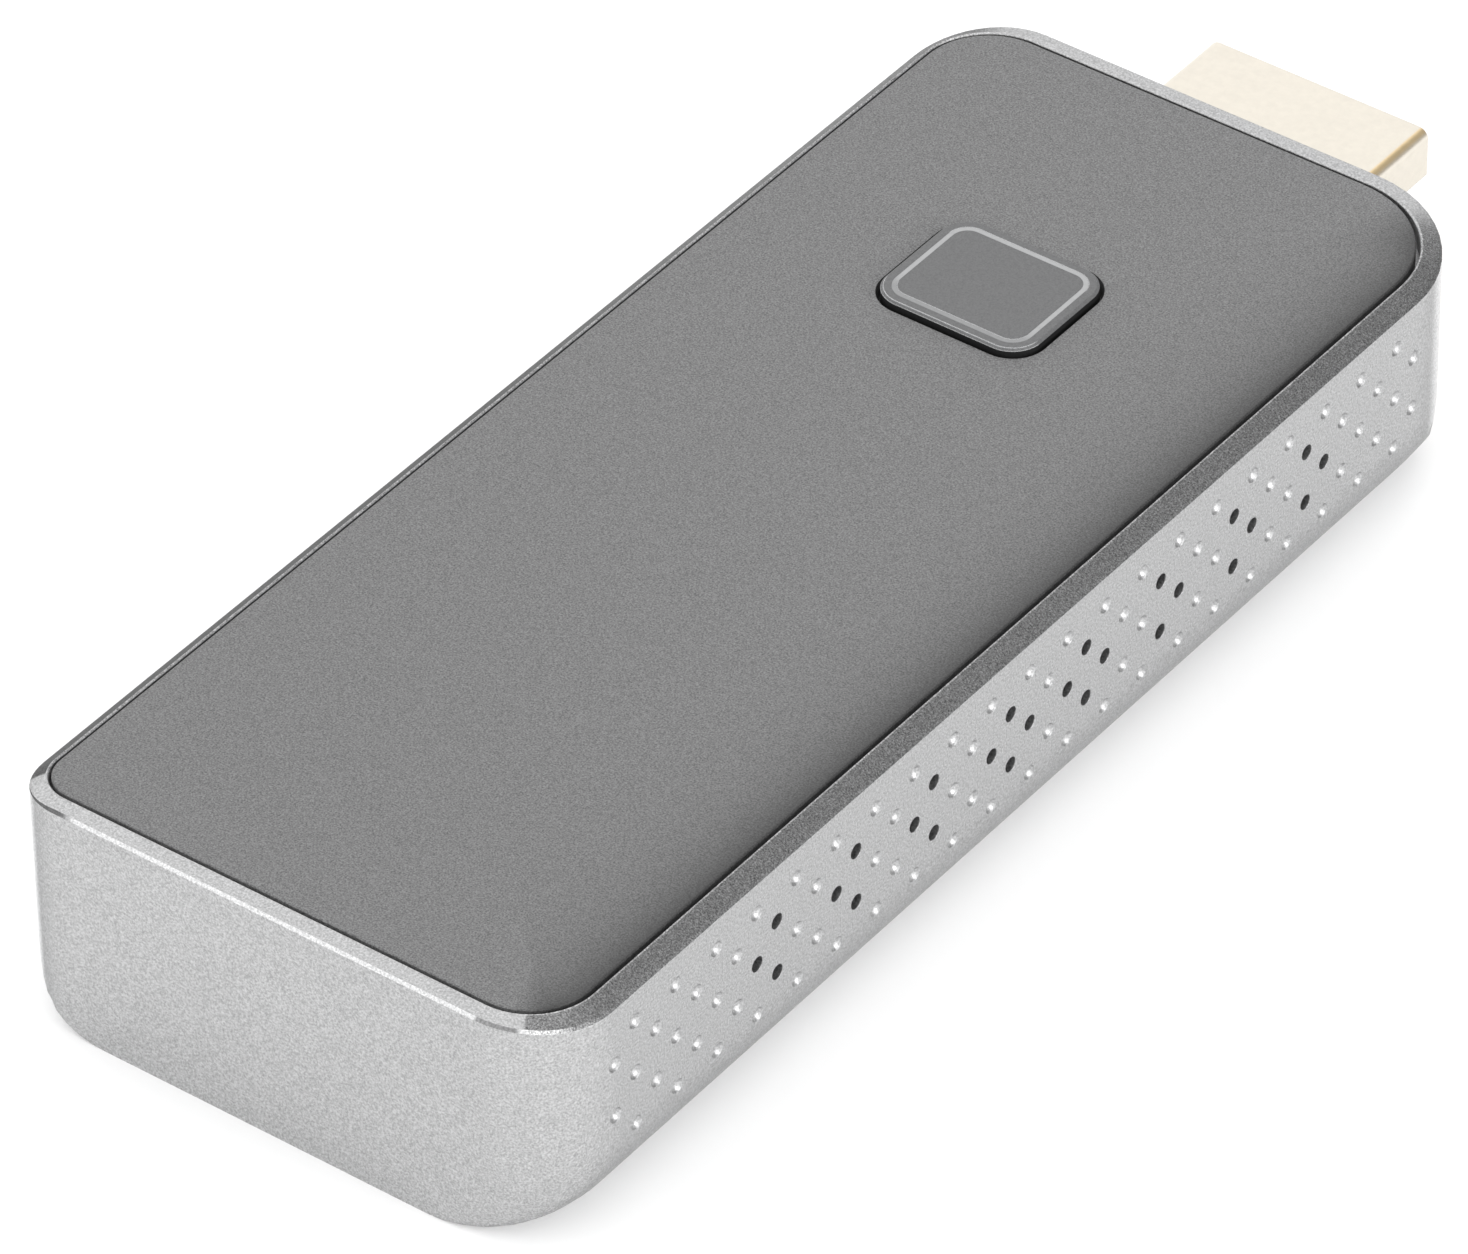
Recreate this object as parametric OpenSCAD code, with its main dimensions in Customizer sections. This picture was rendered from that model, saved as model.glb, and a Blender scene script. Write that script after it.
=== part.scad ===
// Wireless presentation dongle: a slim housing with a glued top plate, one
// lit push button, a plug on its far end and a power socket in one long wall.
// X runs across the housing towards the long wall with the seen vents, Y along
// it towards the plug, and Z up. The origin is the middle of the underside.

/* [Housing] */
// Width across the two long walls
body_w = 33.2; // [31:0.1:38]
// Length between the two end walls
body_l = 79.5; // [76:0.1:88]
// Height from the underside to the face of the top plate
body_h = 14.15; // [14:0.05:18]
// Thickness of the walls
wall = 1.2; // [1.17:0.01:1.5]
// Thickness of the floor
floor_t = 1.2; // [1:0.05:1.5]
// Rounding along the two long bottom edges
belly_r = 5.4; // [4:0.1:6]
// Plan radius of the corner at the plain end, power side
corner_plain_power = 3.1; // [3:0.1:6]
// Plan radius of the corner at the plain end, vent side
corner_plain_vent = 4.6; // [3:0.1:6]
// Plan radius of the corner at the plug end, vent side
corner_plug_vent = 7.3; // [3:0.1:8]
// Plan radius of the corner at the plug end, power side
corner_plug_power = 5; // [3:0.1:8]
// Width of the sloping rim along the two long sides
rim_side_w = 1; // [0.8:0.01:1.15]
// Width of the rim at the two ends
rim_end_w = 1.07; // [0.8:0.01:1.15]
// Fall of the rim to its outer edge along the long sides
rim_side_fall = 0.48; // [0.1:0.02:0.7]
// Fall of the rim to its outer edge at the two ends
rim_end_fall = 0.08; // [0.02:0.02:0.5]
// Bevel at the outer edge of the rim
rim_edge = 0.15; // [0.05:0.01:0.25]
// Bevel at the inner edge of the rim
rim_lip = 0.08; // [0.04:0.01:0.12]
// Place of the top plate's opening across the housing
top_x = -0.12; // [-0.15:0.01:0.15]
// Width of the ledge that the top plate is glued on
ledge_w = 1.1; // [0.9:0.05:1.6]
// Thickness of that ledge
ledge_t = 0.7; // [0.5:0.05:0.9]

/* [Vents] */
// Spacing of the vent lattice along and up the wall
vent_pitch = 1.6; // [1.4:0.05:2]
// Diameter of the vent holes and of the dimples between them
vent_d = 0.86; // [0.6:0.02:1]
// Depth of a dimple
dimple_depth = 0.26; // [0.1:0.02:0.4]
// Number of rows in the lattice
vent_rows = 5; // [3:1:5]
// Depth of the upper row below the face of the top plate
vent_drop = 2.39; // [2.2:0.01:2.6]
// Distance from the plain end to the first column
vent_start = 4.75; // [4:0.05:8]
// Distance from the last column to the plug end
vent_end = 7.55; // [7:0.05:12]

/* [Top plate] */
// Thickness of the top plate
plate_t = 1; // [0.8:0.05:1.3]
// Open gap between the top plate and the rim
plate_gap = 0.18; // [0.1:0.02:0.4]
// Place of the top plate across its opening
plate_shift = -0.06; // [-0.08:0.01:0.08]
// Bevel round the face of the top plate
plate_edge = 0.06; // [0.04:0.01:0.15]
// Thickness of the glue tape under the top plate
tape_t = 0.15; // [0.05:0.05:0.25]

/* [Button] */
// Width of the button cap across the housing
cap_w = 9.6; // [9:0.1:12]
// Length of the button cap along the housing
cap_l = 8.1; // [8:0.05:10]
// Corner radius of the button cap
cap_r = 1.75; // [1.2:0.05:2.5]
// Height of the cap above the face of the top plate
cap_rise = 0.39; // [0.3:0.01:0.8]
// Open gap round the button cap
cap_gap = 0.25; // [0.15:0.05:0.5]
// Bevel round the face of the cap
cap_edge = 0.14; // [0.06:0.02:0.24]
// Place of the button across the housing
button_x = -1.09; // [-2:0.01:2]
// Distance from the middle of the button to the plug end
button_back = 19.88; // [18:0.01:21]
// Travel of the button
press = 0.25; // [0.15:0.05:0.3]
// Distance from the edge of the cap in to the lit ring
ring_inset = 0.57; // [0.4:0.01:0.7]
// Width of the lit ring
ring_w = 0.27; // [0.2:0.01:0.4]

/* [Plug] */
// Width of the plug shell
plug_w = 13.9; // [13.5:0.1:14.5]
// Height of the plug shell
plug_h = 4.45; // [4.2:0.05:4.8]
// Depth of the plug's upper face below the face of the top plate
plug_drop = 5.85; // [5.6:0.05:6.2]
// Place of the plug across the housing
plug_x = -1.95; // [-2.5:0.05:2]
// Length of the plug outside the housing
plug_out = 11.25; // [10:0.05:13]
// Length of the plug inside the housing
plug_in = 6.3; // [5.5:0.1:7.5]
// Thickness of the plug shell
plug_skin = 0.3; // [0.2:0.05:0.4]

/* [Power socket] */
// Width of the power socket shell
socket_w = 8.94; // [8.5:0.02:9.3]
// Height of the power socket shell
socket_h = 3.26; // [3:0.02:3.5]
// Depth of the power socket shell
socket_l = 7.3; // [6.5:0.1:8]
// Distance from the plain end to the middle of the power socket
socket_start = 30.75; // [29:0.05:32]
// Thickness of the socket shell
socket_skin = 0.3; // [0.2:0.05:0.35]

/* [Board] */
// Thickness of the main board
board_t = 1.2; // [1:0.1:1.6]
// Gap between the main board and the opening above it
board_gap = 0.5; // [0.3:0.1:1]
// Diameter of the screw bosses
boss_d = 4; // [3.6:0.1:4.4]
// Diameter of the screw shanks
screw_d = 1.6; // [1.4:0.1:2]
// Width and length of the processor
processor_w = 13; // [10:0.5:14]
// Thickness of the processor
processor_t = 1.2; // [0.8:0.1:1.4]
// Height of the heat sink on the processor
sink_h = 3; // [2:0.1:3.4]

/* [Hidden] */
$fn = 64;
overrun = 0.5;
fit_gap = 0.2;
slide_gap = 0.05;
screw_gap = 0.05;
air_gap = 0.5;

// Corner radii in order: plain end power side, plain end vent side,
// plug end vent side, plug end power side
body_radii = [corner_plain_power, corner_plain_vent, corner_plug_vent, corner_plug_power];
// How far the foot of each corner moves in with the round long edges, in the
// same order: near 0 they only cut it, at 1 its whole curve moves in with them
follow_shares = [0.05, 0.6, 0.3, 0.3];

// Levels of the housing and the top plate
plate_z = body_h - plate_t;
ledge_z = plate_z - tape_t;
cavity_top = ledge_z - ledge_t;
opening_inset = rim_side_w + ledge_w;

// The opening that the top plate lies in
open_w = body_w - 2 * rim_side_w;
open_l = body_l - 2 * rim_end_w;
open_radii = [for (r = body_radii) r - (rim_side_w + rim_end_w) / 2];
plate_x = top_x + plate_shift;

// Steps round a corner and round a long bottom edge
corner_steps = 12;
belly_steps = 10;

// Places along the housing
button_y = body_l / 2 - button_back;
socket_y = -body_l / 2 + socket_start;

// Levels and ends of the plug
plug_z = body_h - plug_drop - plug_h / 2;
plug_tip = body_l / 2 + plug_out;
plug_rear = body_l / 2 - plug_in;
plug_r = 0.6;
plug_side_share = 0.65;
plug_side = plug_h * plug_side_share;
bevel_share = tan(22.5);
plug_mouth = 0.35;
plug_slot_w = 11.7;
plug_slot_h = 1.9;
plug_slot_l = 8.5;
plug_tab_l = 2.4;
plug_tab_h = 1.2;
pin_pitch = 1;
pin_w = 0.45;
pin_t = 0.2;
pin_back = 1.6;
pin_tail = 1.7;
upper_pins = 10;
lower_pins = 9;

// The main board
board_z = plug_z - board_t / 2;
board_top = board_z + board_t;
board_w = body_w - 2 * (opening_inset + board_gap);
board_y0 = -body_l / 2 + opening_inset + board_gap;
board_y1 = plug_rear;
board_l = board_y1 - board_y0;
board_r = 2;
board_mid = (board_y0 + board_y1) / 2;

// Screws and their bosses: share of the board's width, and distances from its ends
screw_share = 0.41;
screw_from_plain = 4.2;
screw_from_plug = 4.9;
boss_foot_share = 0.85;
screw_head_d = 3.2;
screw_head_h = 0.9;
screw_slot_w = 0.4;
screw_slot_d = 0.35;
screw_reach_share = 0.58;
screw_l = (board_top - floor_t) * screw_reach_share;

// Button, light ring and switch
flange_out = 0.7;
flange_t = 0.5;
cap_top = body_h + cap_rise;
flange_z = plate_z - slide_gap - flange_t;
cap_roof = 1.2;
cap_skirt = 1.25;
post_d = 3;
post_l = 0.8;
post_z = flange_z - post_l;
ring_t = 0.5;
leg_l = 2;
guide_wall = 1.2;
guide_h = 1.4;
guide_gap = 0.15;
switch_w = 6;
switch_h = 3.5;
plunger_d = 3.5;
plunger_sink = 1;
switch_pit = plunger_sink + 2 * press + fit_gap;
switch_leg_w = 0.7;
switch_leg_t = 0.3;
switch_leg_l = 0.9;
switch_leg_share = 0.375;
led_w = 0.8;
led_l = 1.6;
led_h = 0.7;

// Power socket
socket_recess = 0.25;
socket_z = board_top + socket_h / 2;
socket_x = -body_w / 2 + socket_recess;
socket_floor = 2.2;
tongue_w = 6.69;
tongue_t = 0.7;
tongue_short = 0.9;
pad_pitch = 0.5;
pad_w = 0.25;
pad_t = 0.08;
pad_count = 12;
socket_clear = 1.2;

// Chips on the board: width, length, thickness. The main ones stand in a line
// from the switch to the plain end, a gap apart.
row_gap = 1.4;
middle_share = 0.08;
left_share = -0.33;
right_share = 0.44;
flash_share = 0.19;
crystal_size = [3.2, 2.5, 0.8];
crystal_y = button_y - switch_w / 2 - switch_leg_l - air_gap - crystal_size[1] / 2;
processor_y = crystal_y - crystal_size[1] / 2 - row_gap - processor_w / 2;
wifi_size = [12, 16, 0.8];
memory_size = [7.5, 11.5, 1];
memory_share = -0.29;
memory_step = 13;
flash_size = [11.5, 13, 1];
pad_thick = 0.4;
sink_base = 1;
sink_fins = 7;
sink_fin_t = 0.8;
shield_h = 1.5;
shield_skin = 0.2;
shield_inset = 0.5;
shield_cut = 4;
chip_gap = 0.8;
power_size = [4, 4, 0.9];
power_y = socket_y + socket_w / 2 + chip_gap + power_size[1] / 2;
inductor_size = [4, 4, 2];
inductor_y = socket_y - socket_w / 2 - chip_gap - inductor_size[1] / 2;
inductor_gap = 1.24;
inductor_x = -(wifi_size[0] + inductor_size[0]) / 2 - inductor_gap;
inductor_bevel = 0.6;
filter_size = [2.5, 1.5, 0.7];
filter_back = 7.05;
filter_y = board_y1 - filter_back;
filter_shares = [-0.17, 0.05];
capacitor_size = [0.8, 1.6, 0.8];
capacitor_step = 2.2;
capacitor_row = 4;
capacitor_shares = [-0.29, 0.17, 0.23];
resistor_size = [0.5, 1, 0.35];
resistor_edge = 1;
resistor_shares = [-0.2, -0.12, -0.04, 0.04, 0.12, 0.2];

// Aerials side by side on the plain end wall, between its corners, and their leads
aerial_gap = 0.6;
aerial_w = body_w / 2 - wall - max(corner_plain_power, corner_plain_vent) - aerial_gap / 2;
aerial_size = [aerial_w, 0.6, 6];
aerial_x = (aerial_w + aerial_gap) / 2;
aerial_z = (floor_t + cavity_top) / 2;
jack_d = 1.6;
jack_h = 0.5;
jack_x = 3;
jack_back = 1.9;
jack_plug_d = 2.4;
jack_plug_h = 1.1;
lead_run = 7.5;
wifi_y = -body_l / 2 + wall + aerial_size[1] + lead_run + jack_plug_d / 2 - jack_back
    + wifi_size[1] / 2;
lead_d = 1.1;
lead_rings = 10;
lead_sides = 8;

// A rectangle whose four corners have their own radii, grown or shrunk all round
module outline(w, l, radii, grow = 0) {
    hw = w / 2 + grow;
    hl = l / 2 + grow;
    r = [for (q = radii) q + grow];
    polygon([[-hw, -hl + r[0]], [-hw + r[0], -hl], [hw - r[1], -hl], [hw, -hl + r[1]],
        [hw, hl - r[2]], [hw - r[2], hl], [-hw + r[3], hl], [-hw, hl - r[3]]]);
    translate([-hw + r[0], -hl + r[0]]) circle(r[0]);
    translate([hw - r[1], -hl + r[1]]) circle(r[1]);
    translate([hw - r[2], hl - r[2]]) circle(r[2]);
    translate([-hw + r[3], hl - r[3]]) circle(r[3]);
}

// Carries a section round such a rectangle. The section's x is 0 on the
// outline and grows outwards, and its y is the height.
module carry_round(w, l, radii) {
    for (k = [0:3]) {
        across = (k % 2 == 0) ? w / 2 : l / 2;
        along = (k % 2 == 0) ? l / 2 : w / 2;
        first = radii[(k + 1) % 4];
        last = radii[(k + 2) % 4];
        rotate([0, 0, k * 90]) {
            translate([across, along - last, 0])
                rotate([90, 0, 0])
                    linear_extrude(2 * along - first - last)
                        children();
            translate([across - last, along - last, 0])
                rotate_extrude(angle = 90)
                    translate([last, 0])
                        children();
        }
    }
}

// A round-cornered plate at a given height
module slab(w, l, r, z, t, grow = 0) {
    translate([0, 0, z])
        linear_extrude(t)
            outline(w, l, [r, r, r, r], grow);
}

// One level of the housing: points round four corners that have their own radii,
// with a height that depends on the direction in which the corner faces
function level(w, l, radii, x, height) = [
    for (k = [0:3])
        for (i = [0:corner_steps])
            let (a = 180 + 90 * (k + i / corner_steps), r = radii[k],
                side = (k == 0 || k == 3) ? -1 : 1, end = (k < 2) ? -1 : 1)
                [x + side * (w / 2 - r) + r * cos(a), end * (l / 2 - r) + r * sin(a), height(a)]
];
function grown(radii, by) = [for (r = radii) r + by];

// One level of the housing's foot, at an angle round its long bottom edges
function foot_level(a) =
    let (inset = belly_r * (1 - sin(a)),
        ring = level(body_w, body_l, body_radii, 0, function (q) belly_r * (1 - cos(a))))
        [for (i = [0:len(ring) - 1])
            let (p = ring[i], out = abs(p[0]), cut = min(out, body_w / 2 - inset),
                share = follow_shares[floor(i / (corner_steps + 1))])
                [sign(p[0]) * (share * (out - inset) + (1 - share) * cut), p[1], p[2]]];

// The rim falls steeply along the long sides and hardly at the ends
function rim_fall(a) = rim_end_fall + (rim_side_fall - rim_end_fall) * pow(cos(a), 2);

// The housing's own shape, solid: round long bottom edges, upright walls and
// the rim, down to just inside the opening
module body_form() {
    foot = [for (j = [0:belly_steps]) foot_level(90 * j / belly_steps)];
    rim = [
        level(body_w, body_l, body_radii, 0, function (q) body_h - rim_fall(q) - rim_edge),
        level(body_w - 2 * rim_edge, body_l - 2 * rim_edge, grown(body_radii, -rim_edge), 0,
            function (q) body_h - rim_fall(q)),
        level(open_w + 2 * rim_lip, open_l + 2 * rim_lip, grown(open_radii, rim_lip), top_x,
            function (q) body_h),
        level(open_w - 2 * rim_lip, open_l - 2 * rim_lip, grown(open_radii, -rim_lip), top_x,
            function (q) body_h - 2 * rim_lip)
    ];
    rings = concat(foot, rim);
    n = len(rings[0]);
    last = len(rings) - 1;
    walls = [for (j = [0:last - 1]) for (i = [0:n - 1])
        let (a = j * n + i, b = j * n + (i + 1) % n)
            each [[a, a + n, b], [b, a + n, b + n]]];
    caps = [[for (i = [0:n - 1]) i], [for (i = [0:n - 1]) last * n + n - 1 - i]];
    polyhedron([for (ring = rings) each ring], concat(walls, caps));
}

// The housing's section across its cavity, with round bottom edges
module cavity_section() {
    hw = body_w / 2 - wall;
    r = belly_r - wall;
    top = cavity_top + overrun;
    polygon([[-hw, top], [-hw, floor_t + r], [-hw + r, floor_t], [hw - r, floor_t],
        [hw, floor_t + r], [hw, top]]);
    for (s = [-1, 1])
        translate([s * (hw - r), floor_t + r]) circle(r);
}

// The cavity under the ledge, a wall's thickness inside the housing
module cavity() {
    intersection() {
        translate([0, 0, floor_t])
            linear_extrude(cavity_top - floor_t)
                outline(body_w - 2 * wall, body_l - 2 * wall, body_radii);
        rotate([90, 0, 0])
            linear_extrude(body_l, center = true)
                cavity_section();
    }
}

vent_columns = round((body_l - vent_start - vent_end) / vent_pitch) + 1;
function vent_y(i) = -body_l / 2 + vent_start + i * vent_pitch;
function vent_z(j) = body_h - vent_drop - j * vent_pitch;
// Columns of the holes that go right through: every fourth one in two rows, and
// in the row between them the ones before those up to one column, and the ones
// after those from another
hole_step = 4;
hole_first = 8;
hole_last = 36;
before_last = 23;
after_first = 21;
function is_hole(i, j) =
    (j % 2 == 1 && i % hole_step == 0 && i >= hole_first && i <= hole_last) ||
    (j == 2 && i % hole_step == hole_step - 1 && i >= hole_first - 1 && i <= before_last) ||
    (j == 2 && i % hole_step == 1 && i >= after_first && i <= hole_last + 1);
function near_socket(y) = abs(y - socket_y) < socket_w / 2 + fit_gap + socket_clear;
// Radius of the ball that leaves a dimple of the vent's width and depth
dimple_r = (vent_d * vent_d / 4 + dimple_depth * dimple_depth) / (2 * dimple_depth);

// The vent lattice of one long wall, on the +X side
module vents(has_socket) {
    for (i = [0:vent_columns - 1])
        for (j = [0:vent_rows - 1])
            if ((i + j) % 2 == 1 && !(has_socket && near_socket(vent_y(i))))
                translate([body_w / 2, vent_y(i), vent_z(j)])
                    if (is_hole(i, j))
                        rotate([0, -90, 0])
                            translate([0, 0, -overrun])
                                cylinder(h = wall + 2 * overrun, d = vent_d);
                    else
                        translate([dimple_r - dimple_depth, 0, 0])
                            sphere(r = dimple_r);
}

// Section of the plug, top side up
module plug_section(grow) {
    hw = plug_w / 2 + grow;
    hh = plug_h / 2 + grow;
    r = plug_r + grow;
    fall = plug_h - plug_side;
    side_z = plug_h / 2 - plug_side - grow * bevel_share;
    base = plug_w / 2 - fall + grow * bevel_share;
    difference() {
        polygon([[-hw, hh], [hw, hh], [hw, side_z], [base, -hh], [-base, -hh], [-hw, side_z]]);
        for (s = [-1, 1])
            translate([s * (hw - r), hh - r])
                difference() {
                    translate([s > 0 ? 0 : -r - overrun, 0])
                        square(r + overrun);
                    circle(r);
                }
    }
}

// A length of the plug section between two places along Y
module plug_bar(y0, y1, grow) {
    translate([plug_x, y1, plug_z])
        rotate([90, 0, 0])
            linear_extrude(y1 - y0)
                plug_section(grow);
}

// A flat-sided slot shape, round at both ends, along X
module socket_bar(x0, x1, grow) {
    r = socket_h / 2 + grow;
    half = socket_w / 2 + grow - r;
    translate([x0, socket_y, socket_z])
        rotate([90, 0, 90])
            linear_extrude(x1 - x0) {
                square([2 * half, 2 * r], center = true);
                for (s = [-1, 1])
                    translate([s * half, 0]) circle(r);
            }
}

// A chip on the upper face of the board, or on the lower one
module chip(share, y, size, lift = 0, under = false) {
    z = under ? board_z - size[2] : board_top + lift;
    translate([share * board_w - size[0] / 2, y - size[1] / 2, z])
        cube(size);
}

module at_screws() {
    for (s = [-1, 1])
        for (y = [board_y0 + screw_from_plain, board_y1 - screw_from_plug])
            translate([s * screw_share * board_w, y]) children();
}

module housing_shell() {
    boss_foot = floor_t * boss_foot_share;
    color([0.78, 0.79, 0.8])
    union() {
        difference() {
            body_form();
            translate([top_x, 0, ledge_z])
                linear_extrude(body_h)
                    outline(open_w, open_l, open_radii);
            translate([top_x, 0, cavity_top - overrun])
                linear_extrude(body_h)
                    outline(open_w, open_l, open_radii, -ledge_w);
            cavity();
            vents(false);
            mirror([1, 0, 0]) vents(true);
            plug_bar(body_l / 2 - wall - overrun, body_l / 2 + overrun, fit_gap);
            socket_bar(-body_w / 2 - overrun, -body_w / 2 + wall + overrun, fit_gap);
        }
        difference() {
            at_screws()
                translate([0, 0, boss_foot])
                    cylinder(h = board_z - boss_foot, d = boss_d);
            at_screws()
                translate([0, 0, floor_t])
                    cylinder(h = board_z, d = screw_d + 2 * screw_gap);
        }
    }
}

module top_plate() {
    color([0.3, 0.31, 0.32])
    difference() {
        translate([plate_x, 0, plate_z])
            linear_extrude(plate_t)
                outline(open_w, open_l, open_radii, -plate_gap);
        translate([plate_x, 0, 0])
            carry_round(open_w - 2 * plate_gap, open_l - 2 * plate_gap,
                grown(open_radii, -plate_gap))
                polygon([[-plate_edge, body_h + overrun], [-plate_edge, body_h],
                    [0, body_h - plate_edge], [overrun, body_h - plate_edge],
                    [overrun, body_h + overrun]]);
        translate([button_x, button_y, 0])
            slab(cap_w, cap_l, cap_r, plate_z - overrun, plate_t + 2 * overrun, cap_gap);
    }
}

module plate_tape() {
    color([0.12, 0.12, 0.12])
    translate([top_x, 0, ledge_z])
        linear_extrude(tape_t)
            difference() {
                outline(open_w, open_l, open_radii, -plate_gap - fit_gap);
                outline(open_w, open_l, open_radii, -ledge_w);
            }
}

// The ring's band, between its outer and inner outlines
module ring_band(grow, z, t) {
    difference() {
        slab(cap_w, cap_l, cap_r, z, t, grow - ring_inset);
        slab(cap_w, cap_l, cap_r, z - overrun, t + 2 * overrun, -grow - ring_inset - ring_w);
    }
}

// The two light legs that run from the ring down to the lamps on the board
module ring_legs(z, t) {
    for (s = [-1, 1])
        translate([s * (cap_w / 2 - ring_inset - ring_w / 2), 0, z + t / 2])
            cube([ring_w, leg_l, t], center = true);
}

module button_cap() {
    pocket_w = cap_w - 2 * cap_skirt;
    pocket_l = cap_l - 2 * cap_skirt;
    roof_z = cap_top - cap_roof;
    color([0.31, 0.32, 0.33])
    translate([button_x, button_y, 0]) {
        difference() {
            union() {
                slab(cap_w, cap_l, cap_r, flange_z, cap_top - flange_z);
                slab(cap_w, cap_l, cap_r, flange_z, flange_t, flange_out);
            }
            carry_round(cap_w, cap_l, [cap_r, cap_r, cap_r, cap_r])
                polygon([[-cap_edge, cap_top + overrun], [-cap_edge, cap_top],
                    [0, cap_top - cap_edge], [overrun, cap_top - cap_edge],
                    [overrun, cap_top + overrun]]);
            translate([-pocket_w / 2, -pocket_l / 2, flange_z - overrun])
                cube([pocket_w, pocket_l, roof_z - flange_z + overrun]);
            ring_band(0, cap_top - ring_t, ring_t + overrun);
            ring_legs(flange_z - overrun, cap_top - flange_z);
        }
        translate([0, 0, post_z])
            cylinder(h = roof_z + cap_edge - post_z, d = post_d);
    }
}

module button_light_ring() {
    foot = board_top + led_h + press + air_gap;
    color([0.85, 0.87, 0.88])
    translate([button_x, button_y, 0]) {
        ring_band(0, cap_top - ring_t, ring_t);
        ring_legs(foot, cap_top - ring_t - foot);
    }
}

module button_guide() {
    inside = flange_out + guide_gap;
    color([0.15, 0.15, 0.16])
    translate([button_x, button_y, 0])
        difference() {
            slab(cap_w, cap_l, cap_r, plate_z - guide_h, guide_h, inside + guide_wall);
            slab(cap_w, cap_l, cap_r, plate_z - guide_h - overrun, guide_h + 2 * overrun, inside);
        }
}

module switch_body() {
    color([0.13, 0.13, 0.14])
    translate([button_x, button_y, board_top])
        difference() {
            translate([-switch_w / 2, -switch_w / 2, 0])
                cube([switch_w, switch_w, switch_h]);
            translate([0, 0, switch_h - switch_pit])
                cylinder(h = switch_pit + overrun, d = plunger_d + 2 * slide_gap);
        }
}

module switch_plunger() {
    foot = board_top + switch_h - plunger_sink;
    color([0.7, 0.2, 0.15])
    translate([button_x, button_y, foot])
        cylinder(h = post_z - slide_gap - foot, d = plunger_d);
}

module switch_legs() {
    color([0.75, 0.76, 0.78])
    for (sx = [-1, 1])
        for (sy = [-1, 1])
            translate([button_x + sx * switch_w * switch_leg_share,
                button_y + sy * (switch_w / 2 + switch_leg_l / 2), board_top + switch_leg_t / 2])
                cube([switch_leg_w, switch_leg_l, switch_leg_t], center = true);
}

module button_leds() {
    color([0.95, 0.95, 0.85])
    for (s = [-1, 1])
        translate([button_x + s * (cap_w / 2 - ring_inset - ring_w / 2), button_y,
            board_top + led_h / 2])
            cube([led_w, led_l, led_h], center = true);
}

module main_board() {
    color([0.05, 0.3, 0.18])
    difference() {
        translate([0, board_mid, 0])
            slab(board_w, board_l, board_r, board_z, board_t);
        at_screws()
            translate([0, 0, board_z - overrun])
                cylinder(h = board_t + 2 * overrun, d = screw_d + 2 * fit_gap);
    }
}

module board_screws() {
    color([0.72, 0.73, 0.75])
    at_screws()
        translate([0, 0, board_top])
            difference() {
                union() {
                    cylinder(h = screw_head_h, d = screw_head_d);
                    translate([0, 0, -screw_l])
                        cylinder(h = screw_l, d = screw_d);
                }
                for (a = [0, 90])
                    rotate([0, 0, a])
                        translate([0, 0, screw_head_h])
                            cube([screw_d, screw_slot_w, 2 * screw_slot_d], center = true);
            }
}

module plug_shell() {
    color([0.95, 0.92, 0.87])
    union() {
        difference() {
            plug_bar(plug_rear, plug_tip, 0);
            plug_bar(plug_rear - overrun, plug_tip + overrun, -plug_skin);
        }
        for (s = [-1, 1])
            translate([plug_x + s * (plug_w - plug_skin) / 2, plug_rear,
                board_top + plug_tab_h / 2])
                cube([plug_skin, 2 * plug_tab_l, plug_tab_h], center = true);
    }
}

// One row of pins, side by side, running the length of the plug
module pin_row(count, z) {
    for (i = [0:count - 1])
        translate([plug_x + (i - (count - 1) / 2) * pin_pitch - pin_w / 2,
            plug_rear - pin_tail, z])
            cube([pin_w, plug_tip - pin_back - plug_rear + pin_tail, pin_t]);
}

module plug_insulator() {
    color([0.1, 0.1, 0.1])
    difference() {
        plug_bar(plug_rear, plug_tip - plug_mouth, -plug_skin);
        translate([plug_x - plug_slot_w / 2, plug_tip - plug_slot_l, plug_z - plug_slot_h / 2])
            cube([plug_slot_w, plug_slot_l, plug_slot_h]);
        pin_row(upper_pins, board_top);
        pin_row(lower_pins, board_z - pin_t);
    }
}

module plug_pins_upper() {
    color([0.85, 0.7, 0.35])
    pin_row(upper_pins, board_top);
}

module plug_pins_lower() {
    color([0.85, 0.7, 0.35])
    pin_row(lower_pins, board_z - pin_t);
}

module plug_filters() {
    color([0.1, 0.1, 0.11])
    for (s = filter_shares)
        chip(s, filter_y, filter_size);
}

module socket_shell() {
    color([0.75, 0.76, 0.78])
    difference() {
        socket_bar(socket_x, socket_x + socket_l, 0);
        socket_bar(socket_x - overrun, socket_x + socket_l - socket_skin, -socket_skin);
    }
}

module socket_tongue() {
    back = socket_x + socket_l - socket_skin;
    color([0.1, 0.1, 0.11])
    union() {
        socket_bar(back - socket_floor, back, -socket_skin);
        translate([socket_x + tongue_short, socket_y - tongue_w / 2, socket_z - tongue_t / 2])
            cube([back - socket_floor / 2 - socket_x - tongue_short, tongue_w, tongue_t]);
    }
}

module socket_pads() {
    color([0.85, 0.7, 0.35])
    for (i = [0:pad_count - 1])
        for (z = [socket_z - tongue_t / 2 - pad_t, socket_z + tongue_t / 2])
            translate([socket_x + tongue_short + pad_pitch,
                socket_y + (i - (pad_count - 1) / 2) * pad_pitch - pad_w / 2, z])
                cube([socket_l - socket_skin - socket_floor - tongue_short - pad_pitch,
                    pad_w, pad_t]);
}

module processor() {
    color([0.08, 0.08, 0.09])
    chip(middle_share, processor_y, [processor_w, processor_w, processor_t]);
}

module processor_pad() {
    color([0.5, 0.6, 0.7])
    chip(middle_share, processor_y, [processor_w, processor_w, pad_thick], processor_t);
}

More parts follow.
